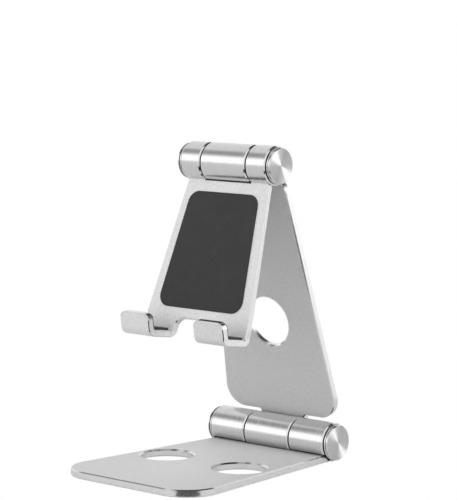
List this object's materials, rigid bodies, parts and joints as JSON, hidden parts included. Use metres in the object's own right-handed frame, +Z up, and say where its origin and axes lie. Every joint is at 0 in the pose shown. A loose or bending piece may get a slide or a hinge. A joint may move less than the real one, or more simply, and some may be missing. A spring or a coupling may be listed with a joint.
{
  "type": "folding tablet stand",
  "caption": "Folding metal stand for a tablet or phone: flat base, leaning arm and a tray with two padded hooks, joined by friction hinges.",
  "frame": {"origin": "on the underside of the base pad, midway between the two round holes of the base", "axes": "+Z up, -Y towards the user, +X along both hinge axes to the user's right"},
  "size_m": [0.0706, 0.1006, 0.1287],
  "materials": {
    "anodised_plate": "fine bead-blasted silver anodising",
    "brushed_barrel": "fine turned silver anodising",
    "spun_cap": "face turned in fine circles, polished rim",
    "screw_steel": "satin",
    "hinge_steel": "machined",
    "bush_bronze": "sintered, satin",
    "black_washer": "matt black",
    "grey_silicone": "soft matt dark grey silicone"
  },
  "bodies": {
    "base": {"base_plate": "anodised_plate", "base_pad": "grey_silicone", "base_screws": "screw_steel", "lower_barrel_left": "brushed_barrel", "lower_barrel_right": "brushed_barrel", "lower_shaft": "hinge_steel", "lower_disc_springs": "hinge_steel", "lower_lock_nut": "hinge_steel", "lower_cap_left": "spun_cap", "lower_cap_right": "spun_cap", "lower_spacer_left": "black_washer", "lower_spacer_right": "black_washer"},
    "arm": {"arm_plate": "anodised_plate", "arm_lower_barrel": "brushed_barrel", "arm_upper_barrel": "brushed_barrel", "arm_lower_screws": "screw_steel", "arm_upper_screws": "screw_steel", "lower_bushes": "bush_bronze", "upper_bushes": "bush_bronze"},
    "tray": {"tray_plate": "anodised_plate", "tray_pad": "grey_silicone", "hook_liner_left": "grey_silicone", "hook_liner_right": "grey_silicone", "tray_screws": "screw_steel", "tray_barrel_left": "brushed_barrel", "tray_barrel_right": "brushed_barrel", "upper_shaft": "hinge_steel", "upper_disc_springs": "hinge_steel", "upper_lock_nut": "hinge_steel", "upper_cap_left": "spun_cap", "upper_cap_right": "spun_cap", "upper_spacer_left": "black_washer", "upper_spacer_right": "black_washer"}
  },
  "joints": [
    {"name": "arm_tilt", "type": "hinge", "parent": "base", "child": "arm", "pos_m": [0, 0.0459, 0.00815], "axis": [1, 0, 0], "range_deg": [-90, 36]},
    {"name": "tray_tilt", "type": "hinge", "parent": "arm", "child": "tray", "pos_m": [0, 0.01843, 0.12085], "axis": [1, 0, 0], "range_deg": [-147, 33]}
  ]
}
